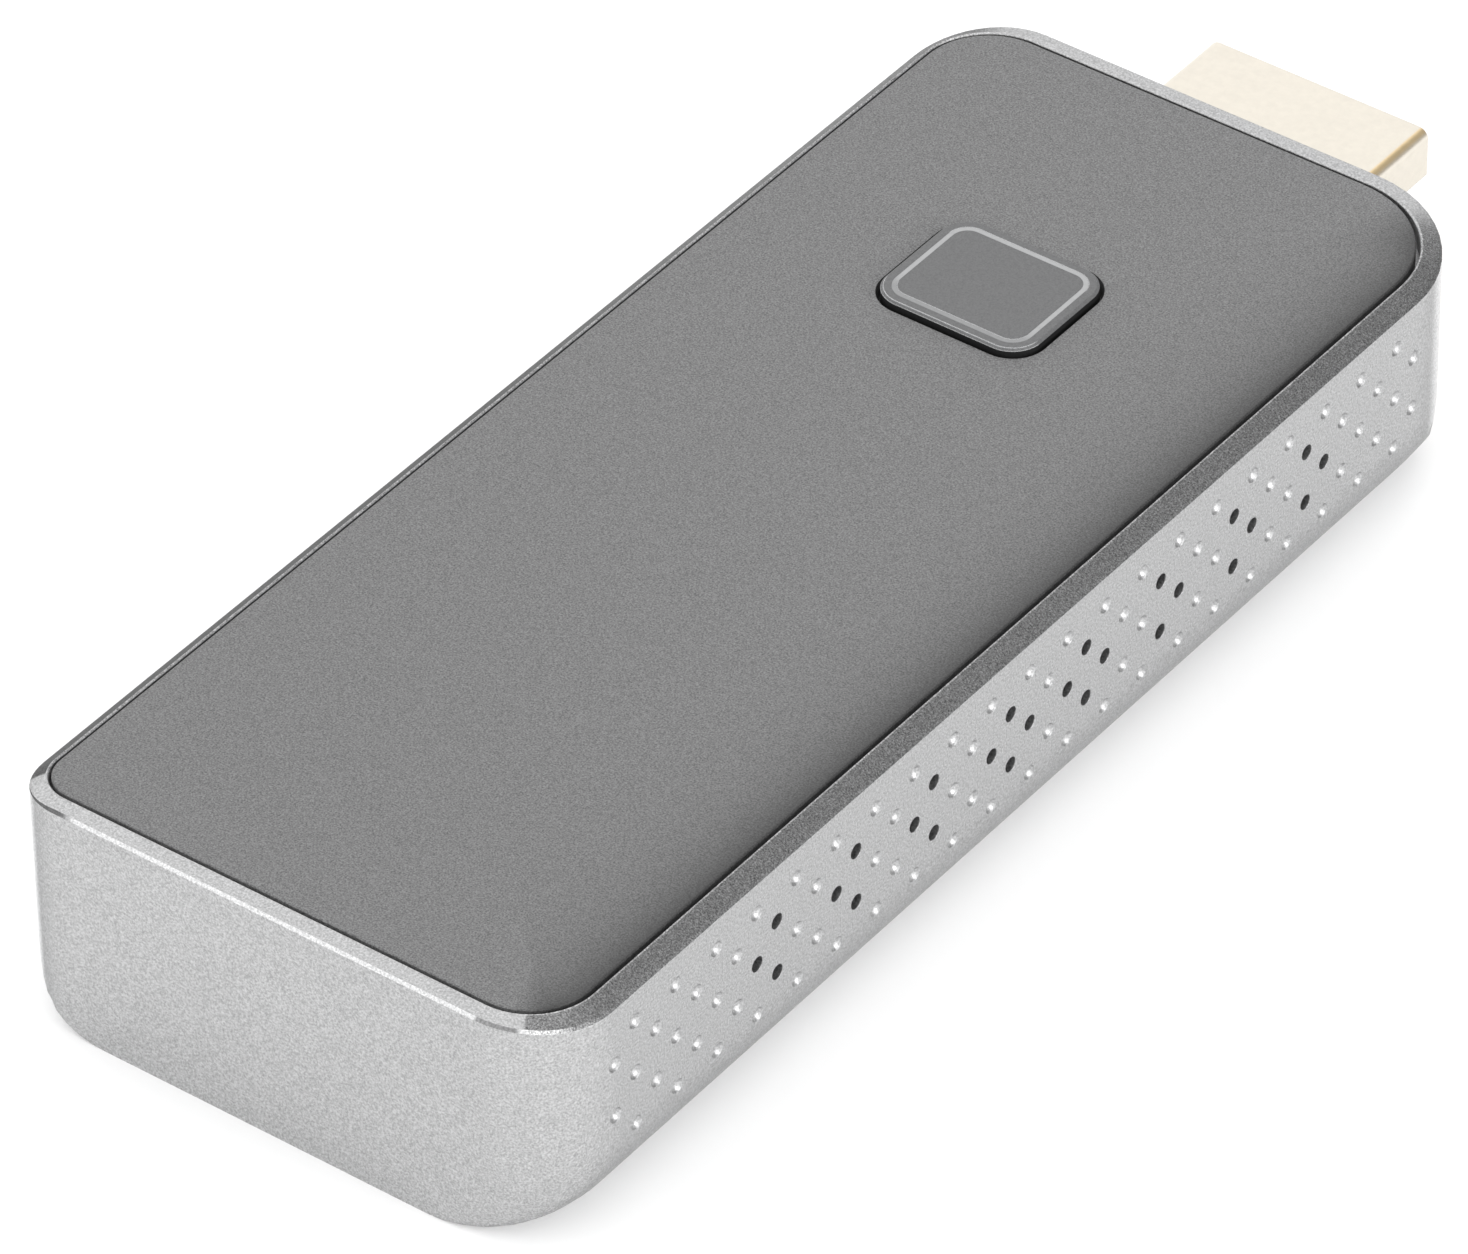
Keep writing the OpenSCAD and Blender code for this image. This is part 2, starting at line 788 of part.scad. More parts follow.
module heat_sink() {
    lift = processor_t + pad_thick;
    fin_h = sink_h - sink_base;
    step = (processor_w - sink_fin_t) / (sink_fins - 1);
    color([0.2, 0.2, 0.22])
    union() {
        chip(middle_share, processor_y, [processor_w, processor_w, sink_base], lift);
        for (i = [0:sink_fins - 1])
            translate([middle_share * board_w - processor_w / 2 + i * step,
                processor_y - processor_w / 2, board_top + lift + sink_base / 2])
                cube([sink_fin_t, processor_w, fin_h + sink_base / 2]);
    }
}

module memory_chips() {
    color([0.09, 0.09, 0.1])
    for (i = [0:1])
        chip(memory_share, processor_y - i * memory_step, memory_size, 0, true);
}

module flash_chip() {
    color([0.09, 0.09, 0.1])
    chip(flash_share, processor_y, flash_size, 0, true);
}

module wifi_board() {
    color([0.05, 0.2, 0.35])
    chip(0, wifi_y, wifi_size);
}

module wifi_shield() {
    w = wifi_size[0] - 2 * shield_inset;
    l = wifi_size[1] - shield_inset - shield_cut;
    y = wifi_y - wifi_size[1] / 2 + shield_cut;
    color([0.78, 0.78, 0.8])
    translate([-w / 2, y, board_top + wifi_size[2]])
        difference() {
            cube([w, l, shield_h]);
            translate([shield_skin, shield_skin, -shield_skin])
                cube([w - 2 * shield_skin, l - 2 * shield_skin, shield_h]);
        }
}

// The two places on the wireless board where the aerial leads plug in
module at_jacks() {
    for (s = [-1, 1])
        translate([s * jack_x, wifi_y - wifi_size[1] / 2 + jack_back, board_top + wifi_size[2]])
            children();
}

module aerial_jacks() {
    color([0.85, 0.7, 0.35])
    at_jacks() cylinder(h = jack_h, d = jack_d);
}

module aerial_plugs() {
    color([0.8, 0.78, 0.7])
    at_jacks()
        difference() {
            cylinder(h = jack_plug_h, d = jack_plug_d);
            translate([0, 0, -overrun])
                cylinder(h = jack_h + overrun + slide_gap, d = jack_d + 2 * slide_gap);
        }
}

// One aerial lead: a round tube along a level S-curve from its aerial to its plug
module aerial_lead(from, to) {
    span = to - from;
    function ease(t) = t * t * (3 - 2 * t);
    function at(t) = [from[0] + span[0] * ease(t), from[1] + span[1] * t, from[2]];
    function heading(t) = [span[0] * 6 * t * (1 - t), span[1], 0];
    function side(t) = [heading(t)[1], -heading(t)[0], 0] / norm(heading(t));
    last = lead_rings - 1;
    points = [for (i = [0:last]) for (k = [0:lead_sides - 1])
        at(i / last) + side(i / last) * lead_d / 2 * cos(k * 360 / lead_sides)
            + [0, 0, lead_d / 2 * sin(k * 360 / lead_sides)]];
    walls = [for (i = [0:last - 1]) for (k = [0:lead_sides - 1])
        let (a = i * lead_sides + k, b = i * lead_sides + (k + 1) % lead_sides)
            each [[a, b, a + lead_sides], [b, b + lead_sides, a + lead_sides]]];
    ends = [[for (k = [0:lead_sides - 1]) lead_sides - 1 - k],
        [for (k = [0:lead_sides - 1]) last * lead_sides + k]];
    polyhedron(points, concat(walls, ends));
}

module aerial_leads() {
    face = -body_l / 2 + wall + aerial_size[1];
    z = board_top + wifi_size[2] + jack_plug_h / 2;
    stop = wifi_y - wifi_size[1] / 2 + jack_back - jack_plug_d / 2;
    color([0.16, 0.16, 0.17])
    for (s = [-1, 1])
        aerial_lead([s * aerial_x, face, z], [s * jack_x, stop, z]);
}

module aerials() {
    color([0.75, 0.6, 0.25])
    for (s = [-1, 1])
        translate([s * aerial_x - aerial_size[0] / 2, -body_l / 2 + wall,
            aerial_z - aerial_size[2] / 2])
            cube(aerial_size);
}

module power_chip() {
    color([0.1, 0.1, 0.11])
    chip(left_share, power_y, power_size);
}

module inductors() {
    color([0.35, 0.35, 0.37])
    for (i = [0:1])
        translate([inductor_x, inductor_y - i * (inductor_size[1] + chip_gap),
            board_top])
            linear_extrude(inductor_size[2])
                polygon([for (k = [0:3]) let (h = inductor_size[0] / 2, c = h - inductor_bevel)
                    each [[[h, -c], [h, c]], [[c, h], [-c, h]], [[-h, c], [-h, -c]],
                        [[-c, -h], [c, -h]]][k]]);
}

module crystal() {
    color([0.8, 0.8, 0.82])
    chip(0, crystal_y, crystal_size);
}

module capacitors() {
    color([0.7, 0.6, 0.45]) {
        for (y = [processor_y, wifi_y])
            for (i = [0:capacitor_row - 1])
                chip(right_share, y + (i - (capacitor_row - 1) / 2) * capacitor_step,
                    capacitor_size);
        for (s = capacitor_shares)
            chip(s, filter_y, capacitor_size);
    }
}

module resistors() {
    color([0.12, 0.12, 0.13])
    for (s = resistor_shares)
        chip(s, board_y0 + resistor_edge, resistor_size);
}

housing_shell();
top_plate();
plate_tape();
button_cap();
button_light_ring();
button_guide();
switch_body();
switch_plunger();
switch_legs();
button_leds();
main_board();
board_screws();
plug_shell();
plug_insulator();
plug_pins_upper();
plug_pins_lower();
plug_filters();
socket_shell();
socket_tongue();
socket_pads();
processor();
processor_pad();
heat_sink();
memory_chips();
flash_chip();
wifi_board();
wifi_shield();
aerial_jacks();
aerial_plugs();
aerial_leads();
aerials();
power_chip();
inductors();
crystal();
capacitors();
resistors();
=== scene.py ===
"""A wireless presentation dongle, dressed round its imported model.

Lengths are in metres, written as millimetres times MM.
"""

import math

import bmesh
import bpy
from mathutils import Matrix, Vector


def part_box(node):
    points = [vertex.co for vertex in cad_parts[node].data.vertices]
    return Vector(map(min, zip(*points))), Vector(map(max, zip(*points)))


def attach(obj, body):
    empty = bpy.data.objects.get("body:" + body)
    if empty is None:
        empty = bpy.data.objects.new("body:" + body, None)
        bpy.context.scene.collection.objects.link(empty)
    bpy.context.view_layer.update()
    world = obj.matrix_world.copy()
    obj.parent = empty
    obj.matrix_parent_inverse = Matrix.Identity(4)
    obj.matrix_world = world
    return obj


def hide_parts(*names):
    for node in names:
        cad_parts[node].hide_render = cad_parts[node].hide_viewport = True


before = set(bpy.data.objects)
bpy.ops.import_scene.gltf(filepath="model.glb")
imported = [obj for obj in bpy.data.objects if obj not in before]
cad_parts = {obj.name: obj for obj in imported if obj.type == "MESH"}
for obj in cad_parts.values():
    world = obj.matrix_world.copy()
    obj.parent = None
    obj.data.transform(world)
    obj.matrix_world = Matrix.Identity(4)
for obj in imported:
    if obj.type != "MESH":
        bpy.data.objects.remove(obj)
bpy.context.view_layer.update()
MM = 0.001
scene = bpy.context.scene

# Camera. A long lens half a metre away, above the corner where the plain end
# meets the vented long wall, as the photograph was taken. It turns very
# slightly about its own line of sight.
CAMERA_AT = Vector((249.33, -332.51, 343.30)) * MM
CAMERA_AZIMUTH = 37.148
CAMERA_ELEVATION = 39.081
CAMERA_ROLL = -0.695
CAMERA_LENS = 262.5
CAMERA_NEAR = 10 * MM
CAMERA_FAR = 10.0
SENSOR_WIDTH = 36.0

camera_data = bpy.data.cameras.new("camera")
camera_data.sensor_width = SENSOR_WIDTH
camera_data.sensor_fit = "HORIZONTAL"
camera_data.lens = CAMERA_LENS
camera_data.clip_start = CAMERA_NEAR
camera_data.clip_end = CAMERA_FAR
camera = bpy.data.objects.new("camera", camera_data)
scene.collection.objects.link(camera)
azimuth, elevation = math.radians(CAMERA_AZIMUTH), math.radians(CAMERA_ELEVATION)
camera_back = Vector((
    math.sin(azimuth) * math.cos(elevation),
    -math.cos(azimuth) * math.cos(elevation),
    math.sin(elevation),
))
camera_turn = camera_back.to_track_quat("Z", "Y").to_matrix().to_4x4()
camera.matrix_world = (
    Matrix.Translation(CAMERA_AT)
    @ camera_turn
    @ Matrix.Rotation(math.radians(CAMERA_ROLL), 4, "Z")
)
scene.camera = camera
scene.view_settings.view_transform = "Standard"

# Floor. A plain white light table, far wider than the view. It meets the
# housing a hair above the underside, which can be seen from below, and its own
# faint glow thins the shadows.
FLOOR_SIZE = 4.0
FLOOR_WHITE = 0.93
FLOOR_GLOW = 0.1
FLOOR_RISE = 0.01 * MM
FLOOR_ROUGHNESS = 0.9
FLOOR_GLOSS = 0.1
floor_mesh = bpy.data.meshes.new("floor")
floor_shape = bmesh.new()
bmesh.ops.create_grid(floor_shape, x_segments=1, y_segments=1, size=FLOOR_SIZE)
bmesh.ops.translate(floor_shape, verts=floor_shape.verts, vec=(0, 0, FLOOR_RISE))
floor_shape.to_mesh(floor_mesh)
floor_shape.free()
floor = bpy.data.objects.new("floor", floor_mesh)
scene.collection.objects.link(floor)
floor_material = bpy.data.materials.new("floor_white")
floor_material.use_nodes = True
floor_shader = floor_material.node_tree.nodes["Principled BSDF"]
floor_shader.inputs["Base Color"].default_value = (FLOOR_WHITE, FLOOR_WHITE, FLOOR_WHITE, 1)
floor_shader.inputs["Roughness"].default_value = FLOOR_ROUGHNESS
floor_shader.inputs["Specular IOR Level"].default_value = FLOOR_GLOSS
floor_shader.inputs["Emission Color"].default_value = (1, 1, 1, 1)
floor_shader.inputs["Emission Strength"].default_value = FLOOR_GLOW
floor_mesh.materials.append(floor_material)

# Light. A soft white tent all round, dimmer low down at its back right,
# and one soft lamp low at the right that puts a spark into each dimple.
TENT_BRIGHT = 1.3
TENT_DARK = 0.45
DARK_SIDE = Vector((0.62, 0.74, 0.25)).normalized()
DARK_FADES_AT = 0.55
DARK_FULL_AT = 0.88

world = bpy.data.worlds.new("studio")
scene.world = world
world.use_nodes = True
world_nodes, world_links = world.node_tree.nodes, world.node_tree.links
tent = world_nodes["Background"]
tent.inputs["Color"].default_value = (1, 1, 1, 1)
tent_direction = world_nodes.new("ShaderNodeTexCoord")
towards_dark = world_nodes.new("ShaderNodeVectorMath")
towards_dark.operation = "DOT_PRODUCT"
towards_dark.inputs[1].default_value = DARK_SIDE
tent_level = world_nodes.new("ShaderNodeMapRange")
tent_level.interpolation_type = "SMOOTHSTEP"
tent_level.inputs["From Min"].default_value = DARK_FADES_AT
tent_level.inputs["From Max"].default_value = DARK_FULL_AT
tent_level.inputs["To Min"].default_value = TENT_BRIGHT
tent_level.inputs["To Max"].default_value = TENT_DARK
world_links.new(tent_direction.outputs["Generated"], towards_dark.inputs[0])
world_links.new(towards_dark.outputs["Value"], tent_level.inputs["Value"])
world_links.new(tent_level.outputs["Result"], tent.inputs["Strength"])

SPARK_AT = Vector((700, 60, 240)) * MM
SPARK_SIZE = 300 * MM
SPARK_POWER = 2.6
spark_data = bpy.data.lights.new("spark_lamp", "AREA")
spark_data.shape = "SQUARE"
spark_data.size = SPARK_SIZE
spark_data.energy = SPARK_POWER
spark = bpy.data.objects.new("spark_lamp", spark_data)
scene.collection.objects.link(spark)
spark_turn = SPARK_AT.to_track_quat("Z", "Y").to_matrix().to_4x4()
spark.matrix_world = Matrix.Translation(SPARK_AT) @ spark_turn

# Housing. A die-cast aluminium tub, sand blasted and left silver, with rows of
# dimples and small vent holes in its long walls. Its blasted skin is a fine
# even grain that breaks up each reflection.
HOUSING_SILVER = (0.484, 0.485, 0.488)
HOUSING_GRAIN = 0.11 * MM
HOUSING_EDGE = 0.6
FLECK_DETAIL = 2.0
FLECK_ROUGHNESS = 0.6
FLECK_RANGE = (0.3, 0.7)
GLOSS_SPREAD = 0.15
WELD = 0.001 * MM
CURVE_COS = math.cos(math.radians(14))
FLAT_SHARE = 0.99999


def new_group(name, inputs, outputs):
    """A shader node group with named sockets, and its two end nodes."""
    group = bpy.data.node_groups.new(name, "ShaderNodeTree")
    for way, sockets in (("INPUT", inputs), ("OUTPUT", outputs)):
        for label, kind in sockets:
            socket_type = "NodeSocket" + kind
            group.interface.new_socket(name=label, in_out=way, socket_type=socket_type)
    return group, group.nodes.new("NodeGroupInput"), group.nodes.new("NodeGroupOutput")


def make_flecks():
    """Fine random flecks over a colour, with the height they stand at."""
    group, taken, given = new_group(
        "flecks",
        [("Colour", "Color"), ("Scale", "Float"), ("Contrast", "Float")],
        [("Colour", "Color"), ("Height", "Float")],
    )
    nodes, links = group.nodes, group.links
    place = nodes.new("ShaderNodeTexCoord")
    noise = nodes.new("ShaderNodeTexNoise")
    noise.inputs["Detail"].default_value = FLECK_DETAIL
    noise.inputs["Roughness"].default_value = FLECK_ROUGHNESS
    low = nodes.new("ShaderNodeMath")
    low.operation = "SUBTRACT"
    low.inputs[0].default_value = 1.0
    high = nodes.new("ShaderNodeMath")
    high.operation = "ADD"
    high.inputs[0].default_value = 1.0
    tone = nodes.new("ShaderNodeMapRange")
    tone.inputs["From Min"].default_value = FLECK_RANGE[0]
    tone.inputs["From Max"].default_value = FLECK_RANGE[1]
    shade = nodes.new("ShaderNodeVectorMath")
    shade.operation = "SCALE"
    links.new(place.outputs["Object"], noise.inputs["Vector"])
    links.new(taken.outputs["Scale"], noise.inputs["Scale"])
    links.new(taken.outputs["Contrast"], low.inputs[1])
    links.new(taken.outputs["Contrast"], high.inputs[1])
    links.new(noise.outputs["Fac"], tone.inputs["Value"])
    links.new(low.outputs[0], tone.inputs["To Min"])
    links.new(high.outputs[0], tone.inputs["To Max"])
    links.new(taken.outputs["Colour"], shade.inputs[0])
    links.new(tone.outputs["Result"], shade.inputs["Scale"])
    links.new(shade.outputs["Vector"], given.inputs["Colour"])
    links.new(noise.outputs["Fac"], given.inputs["Height"])
    return group


flecks = make_flecks()


def finish(name, colour, roughness, metallic=0.0, grain=0.2 * MM, contrast=0.1,
           depth=0.01 * MM, edge=0.05 * MM):
    """A material with flecks in its colour, gloss and relief, and soft edges."""
    material = bpy.data.materials.new(name)
    material.use_nodes = True
    nodes, links = material.node_tree.nodes, material.node_tree.links
    shader = nodes["Principled BSDF"]
    shader.inputs["Metallic"].default_value = metallic
    skin = nodes.new("ShaderNodeGroup")
    skin.node_tree = flecks
    skin.inputs["Colour"].default_value = (*colour, 1)
    skin.inputs["Scale"].default_value = 1 / grain
    skin.inputs["Contrast"].default_value = contrast
    gloss = nodes.new("ShaderNodeMapRange")
    gloss.inputs["To Min"].default_value = roughness * (1 - GLOSS_SPREAD)
    gloss.inputs["To Max"].default_value = min(1.0, roughness * (1 + GLOSS_SPREAD))
    rounded = nodes.new("ShaderNodeBevel")
    rounded.inputs["Radius"].default_value = edge
    relief = nodes.new("ShaderNodeBump")
    relief.inputs["Distance"].default_value = depth
    links.new(skin.outputs["Colour"], shader.inputs["Base Color"])
    links.new(skin.outputs["Height"], gloss.inputs["Value"])
    links.new(gloss.outputs["Result"], shader.inputs["Roughness"])
    links.new(skin.outputs["Height"], relief.inputs["Height"])
    links.new(rounded.outputs["Normal"], relief.inputs["Normal"])
    links.new(relief.outputs["Normal"], shader.inputs["Normal"])
    return material


def dress(material, *names):
    """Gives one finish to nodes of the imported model."""
    for name in names:
        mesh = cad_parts[name].data
        mesh.materials.clear()
        mesh.materials.append(material)


def smooth_copy(name, piece_name, body, material):
    """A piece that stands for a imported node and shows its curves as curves.

    A flat face keeps its own normal up to its edges, and the curved faces
    that run into it take that normal over there.
    """
    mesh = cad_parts[name].data.copy()
    shape = bmesh.new()
    shape.from_mesh(mesh)
    bmesh.ops.remove_doubles(shape, verts=shape.verts, dist=WELD)
    shape.normal_update()
    normals = []
    for face in shape.faces:
        face.smooth = True
        for corner in face.loops:
            near = [
                (other.face.normal, other.calc_angle())
                for other in corner.vert.link_loops
                if other.face.normal.dot(face.normal) > CURVE_COS
            ]
            flat = [n for n, _ in near if max(abs(c) for c in n) > FLAT_SHARE]
            mean = flat[0] if flat else sum((n * a for n, a in near), Vector())
            normals.append(mean.normalized())
    shape.to_mesh(mesh)
    shape.free()
    mesh.normals_split_custom_set(normals)
    mesh.materials.clear()
    mesh.materials.append(material)
    piece = bpy.data.objects.new(piece_name, mesh)
    scene.collection.objects.link(piece)
    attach(piece, body)
    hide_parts(name)
    return piece


housing_finish = finish("blasted_silver", HOUSING_SILVER, 0.42, metallic=1.0,
                        grain=HOUSING_GRAIN, contrast=0.3, depth=0.01 * MM, edge=0.08 * MM)
housing_shader = housing_finish.node_tree.nodes["Principled BSDF"]
housing_shader.inputs["Specular Tint"].default_value = (*[HOUSING_EDGE] * 3, 1)

# Rim. The same metal as the housing, cut to a slope that is steep along both
# long sides. Painted shade darkens the cut there, with a thin painted
# highlight along its lip. The painted shade stops short at the plain-end
# corners and fades round the others.
RIM_WIDTH = 1.035 * MM
PLATE_GAP = 0.18 * MM
PLATE_SHIFT = -0.06 * MM
LEAST_LEAN = 0.001 * MM
RIM_FROM_Z = 13.3 * MM
SLOPE_MIN_RISE = 0.6
# Painted shade on the vented side's slope.
SLOPE_SHADE = 0.48
SLOPE_GRAIN = 0.08 * MM
SLOPE_CONTRAST = 2.6
# Painted shade on the power side's slope, lighter towards the plug end.
POWER_SHADE_PLAIN = 0.25
POWER_SHADE_PLUG = 0.5
POWER_SHADE_FROM = -8 * MM
POWER_SHADE_TO = 34 * MM
# Painted highlight: a thin strip along the lip kept at this tone, lighter than the shaded
# slope.
LIP_HIGHLIGHT_TONE = 1.0
LIP_FROM = 0.1 * MM
LIP_TO = 0.16 * MM
TURN_PLAIN_POWER = 0.84
TURN_PLAIN_VENT = 0.54
TURN_PLUG = 0.57
STOP_WIDTH = 0.03
FADE_WIDTH = 0.25
EDGE_FROM = 0.92 * MM
EDGE_MOST_RISE = 0.85
WALL_MOST_RISE = 0.1
# Painted light on the rim's inner wall inside the gap round the plate.
INNER_WALL_PAINTED_LIGHT = 1.3
# Painted reflection on the upright walls round two opposite plan corners.
CORNER_REFLECTION_HEADING = (0.797, 0.604)
CORNER_REFLECTION_FROM = 0.9
CORNER_REFLECTION_FULL = 0.996
CORNER_REFLECTION_MOST = 1.9
# Painted highlights and dark lines along the plain end's outer edge, changing along its run
# and dulled towards the power-side corner.
GLINT_MOST = 1.5
GLINT_SHARES = ((-1.0, 0.18), (-0.4, 0.18), (-0.1, 0.2), (-0.02, 1.0), (0.01, 0.95),
                (0.04, 0.4), (0.46, 0.35), (0.51, 0.95), (0.75, 0.85), (0.9, 0.3))
GLINT_DULL = 0.2
GLINT_DULL_FOR_X = -13.2 * MM
GLINT_DULL_ENDS_X = -12.0 * MM
# Corner radii: the plain end's power and vent sides, the plug end's vent and power sides.
BODY_RADII = (3.1 * MM, 4.6 * MM, 7.3 * MM, 5.0 * MM)
plate_low, plate_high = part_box("top_plate")
plate_half = [(high - low) / 2 for low, high in zip(plate_low, plate_high)]
plate_middle = (plate_low[0] + plate_high[0]) / 2


def wire(tree, value, socket):
    """Gives a socket a number, or the output of another node."""
    if isinstance(value, (int, float)):
        socket.default_value = value
    else:
        tree.links.new(value, socket)


def reckon(tree, operation, *values):
    """One sum with numbers and outputs."""
    node = tree.nodes.new("ShaderNodeMath")
    node.operation = operation
    for value, socket in zip(values, node.inputs):
        wire(tree, value, socket)
    return node.outputs[0]


def between(tree, value, low, high, first, second):
    """Goes smoothly from first to second as the value goes from low to high."""
    node = tree.nodes.new("ShaderNodeMapRange")
    node.interpolation_type = "SMOOTHSTEP"
    labels = ("Value", "From Min", "From Max", "To Min", "To Max")
    for label, number in zip(labels, (value, low, high, first, second)):
        wire(tree, number, node.inputs[label])
    return node.outputs["Result"]


def part_xyz(tree, output):
    """The three numbers of a place or a direction."""
    node = tree.nodes.new("ShaderNodeSeparateXYZ")
    tree.links.new(output, node.inputs[0])
    return node.outputs


def tint(material, tone):
    """Scales a finish's colour by a number that changes over the surface."""
    tree = material.node_tree
    shade = tree.nodes.new("ShaderNodeVectorMath")
    shade.operation = "SCALE"
    base = tree.nodes["Principled BSDF"].inputs["Base Color"]
    tree.links.new(base.links[0].from_socket, shade.inputs[0])
    tree.links.new(tone, shade.inputs["Scale"])
    tree.links.new(shade.outputs[0], base)


def make_outline_place():
    """How far a point lies outside a round-cornered outline, and the way out."""
    radii = ("Plain Power", "Plain Vent", "Plug Vent", "Plug Power")
    group, taken, given = new_group(
        "outline_place",
        [(label, "Float") for label in ("Middle", "Half Width", "Half Length", *radii)],
        [(label, "Float") for label in ("Distance", "Heading X", "Heading Y")],
    )
    asked = taken.outputs
    place = group.nodes.new("ShaderNodeTexCoord")
    at = part_xyz(group, place.outputs["Object"])
    x = reckon(group, "SUBTRACT", at["X"], asked["Middle"])
    on_vent_side = reckon(group, "GREATER_THAN", x, 0.0)
    at_plug_end = reckon(group, "GREATER_THAN", at["Y"], 0.0)
    plain = between(group, on_vent_side, 0.0, 1.0,
                    asked["Plain Power"], asked["Plain Vent"])
    plug = between(group, on_vent_side, 0.0, 1.0,
                   asked["Plug Power"], asked["Plug Vent"])
    radius = between(group, at_plug_end, 0.0, 1.0, plain, plug)
    beyond = []
    for far, half in ((x, asked["Half Width"]), (at["Y"], asked["Half Length"])):
        past = reckon(group, "SUBTRACT", reckon(group, "ABSOLUTE", far), half)
        beyond.append(reckon(group, "ADD", radius, past))
    outside = [reckon(group, "MAXIMUM", part, 0.0) for part in beyond]
    squares = [reckon(group, "MULTIPLY", part, part) for part in outside]
    reach = reckon(group, "SQRT", reckon(group, "ADD", *squares))
    inside = reckon(group, "MINIMUM", reckon(group, "MAXIMUM", *beyond), 0.0)
    distance = reckon(group, "SUBTRACT", reckon(group, "ADD", reach, inside), radius)
    group.links.new(distance, given.inputs["Distance"])
    leans = []
    for part in beyond:
        lean = reckon(group, "ADD", reckon(group, "SUBTRACT", part, inside), LEAST_LEAN)
        leans.append(reckon(group, "MAXIMUM", lean, 0.0))
    squares = [reckon(group, "MULTIPLY", part, part) for part in leans]
    whole = reckon(group, "SQRT", reckon(group, "ADD", *squares))
    for label, part, far in (("Heading X", leans[0], x), ("Heading Y", leans[1], at["Y"])):
        share = reckon(group, "DIVIDE", part, whole)
        signed = reckon(group, "MULTIPLY", share, reckon(group, "SIGN", far))
        group.links.new(signed, given.inputs[label])
    return group


outline_place = make_outline_place()


def place_by_outline(tree, middle, half_width, half_length, inset):
    """Places a surface by an outline that lies an inset inside the housing's."""
    node = tree.nodes.new("ShaderNodeGroup")
    node.node_tree = outline_place
    values = (middle, half_width, half_length, *(radius - inset for radius in BODY_RADII))
    for socket, value in zip(node.inputs, values):
        socket.default_value = value
    return node.outputs


def glint_tone(tree, rim, at):
    """Painted highlights and dark lines along the rim's outer edge at the plain end."""
    glint = tree.nodes.new("ShaderNodeValToRGB")
    stops = glint.color_ramp.elements
    for stop, (heading, share) in zip(stops, (GLINT_SHARES[0], GLINT_SHARES[-1])):
        stop.position = (heading + 1) / 2
        stop.color = (share, share, share, 1)
    for heading, share in GLINT_SHARES[1:-1]:
        stop = stops.new((heading + 1) / 2)
        stop.color = (share, share, share, 1)
    along = reckon(tree, "MULTIPLY_ADD", rim["Heading X"], 0.5, 0.5)
    wire(tree, along, glint.inputs["Fac"])
    most = between(tree, at["X"], GLINT_DULL_FOR_X, GLINT_DULL_ENDS_X, GLINT_DULL, 1.0)
    share = reckon(tree, "MINIMUM", glint.outputs["Color"], most)
    return reckon(tree, "MULTIPLY", share, GLINT_MOST)


def shade_rim(material):
    """Painted shade and highlights: the rim's slopes, their lip, its inner wall and its
    outer edge.
    """
    tree = material.node_tree
    rim = place_by_outline(tree, plate_middle - PLATE_SHIFT, plate_half[0] + PLATE_GAP,
                           plate_half[1] + PLATE_GAP, RIM_WIDTH)
    place = tree.nodes.new("ShaderNodeTexCoord")
    at = part_xyz(tree, place.outputs["Object"])
    geometry = tree.nodes.new("ShaderNodeNewGeometry")
    facing = part_xyz(tree, geometry.outputs["Normal"])
    on_vent_side = reckon(tree, "GREATER_THAN", at["X"], 0.0)
    at_plug_end = reckon(tree, "GREATER_THAN", at["Y"], 0.0)
    on_rim = reckon(tree, "GREATER_THAN", at["Z"], RIM_FROM_Z)
    plain_turn = between(tree, on_vent_side, 0.0, 1.0, TURN_PLAIN_POWER, TURN_PLAIN_VENT)
    turn = between(tree, at_plug_end, 0.0, 1.0, plain_turn, TURN_PLUG)
    width = between(tree, at_plug_end, 0.0, 1.0, STOP_WIDTH, FADE_WIDTH)
    aside = between(tree, reckon(tree, "ABSOLUTE", rim["Heading X"]),
                    reckon(tree, "SUBTRACT", turn, width), reckon(tree, "ADD", turn, width),
                    0.0, 1.0)
    upward = reckon(tree, "GREATER_THAN", facing["Z"], SLOPE_MIN_RISE)
    slope = reckon(tree, "MULTIPLY", aside, reckon(tree, "MULTIPLY", on_rim, upward))
    power_shade = between(tree, at["Y"], POWER_SHADE_FROM, POWER_SHADE_TO,
                          POWER_SHADE_PLAIN, POWER_SHADE_PLUG)
    side_shade = between(tree, on_vent_side, 0.0, 1.0, power_shade, SLOPE_SHADE)
    slope_shade = between(tree, rim["Distance"], LIP_FROM, LIP_TO, LIP_HIGHLIGHT_TONE, side_shade)
    tone = between(tree, slope, 0.0, 1.0, 1.0, slope_shade)
    near_in = reckon(tree, "LESS_THAN", rim["Distance"], EDGE_FROM)
    cut = reckon(tree, "LESS_THAN", reckon(tree, "ABSOLUTE", facing["Z"]), WALL_MOST_RISE)
    inner = reckon(tree, "MULTIPLY", reckon(tree, "MULTIPLY", cut, near_in), on_rim)
    tone = between(tree, inner, 0.0, 1.0, tone, INNER_WALL_PAINTED_LIGHT)
    far_out = reckon(tree, "GREATER_THAN", rim["Distance"], EDGE_FROM)
    bevelled = reckon(tree, "LESS_THAN", facing["Z"], EDGE_MOST_RISE)
    edge = reckon(tree, "MULTIPLY", bevelled, reckon(tree, "MULTIPLY", on_rim, upward))
    outer = reckon(tree, "MULTIPLY", edge, far_out)
    plain_edge = reckon(tree, "MULTIPLY", outer, reckon(tree, "SUBTRACT", 1.0, at_plug_end))
    glint = glint_tone(tree, rim, at)
    tint(material, between(tree, plain_edge, 0.0, 1.0, tone, glint))
    return slope


